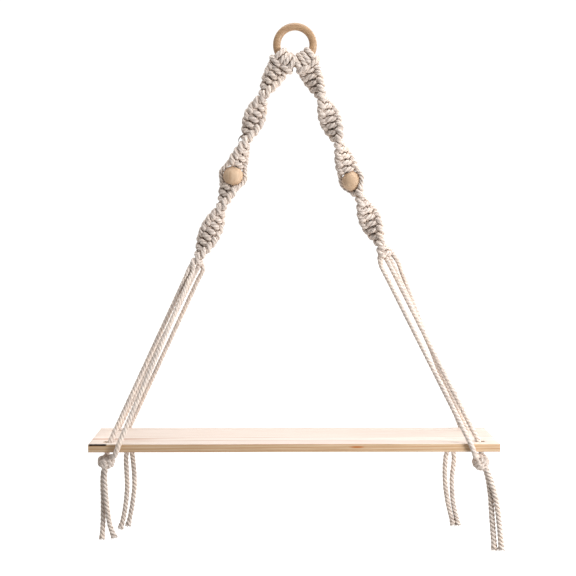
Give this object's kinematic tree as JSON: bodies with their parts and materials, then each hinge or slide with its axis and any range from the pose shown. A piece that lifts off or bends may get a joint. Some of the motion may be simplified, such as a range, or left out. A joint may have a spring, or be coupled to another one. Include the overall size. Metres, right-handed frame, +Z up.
{
  "type": "macrame wall shelf",
  "caption": "Wooden wall shelf hung from a wooden ring by two knotted cotton straps with a turned spiral, threaded beads, corner knots and loose cord ends.",
  "frame": {"origin": "the ring's inner top, where it bears on the wall hook", "axes": "+X to the viewer's right along the board, +Y away from the viewer towards the wall, +Z up"},
  "size_m": [0.5078, 0.1546, 0.6483],
  "materials": {
    "ring_wood": "turned beech, smooth, clear matt",
    "board_pine": "planed pine, bare",
    "cotton_cord": "three ply twisted cotton, natural",
    "bead_wood": "turned light wood, bare"
  },
  "bodies": {
    "root": {"hanging_ring": "ring_wood", "shelf_board": "board_pine", "strap_left": "cotton_cord", "strap_right": "cotton_cord", "bead_left": "bead_wood", "bead_right": "bead_wood"}
  },
  "joints": []
}
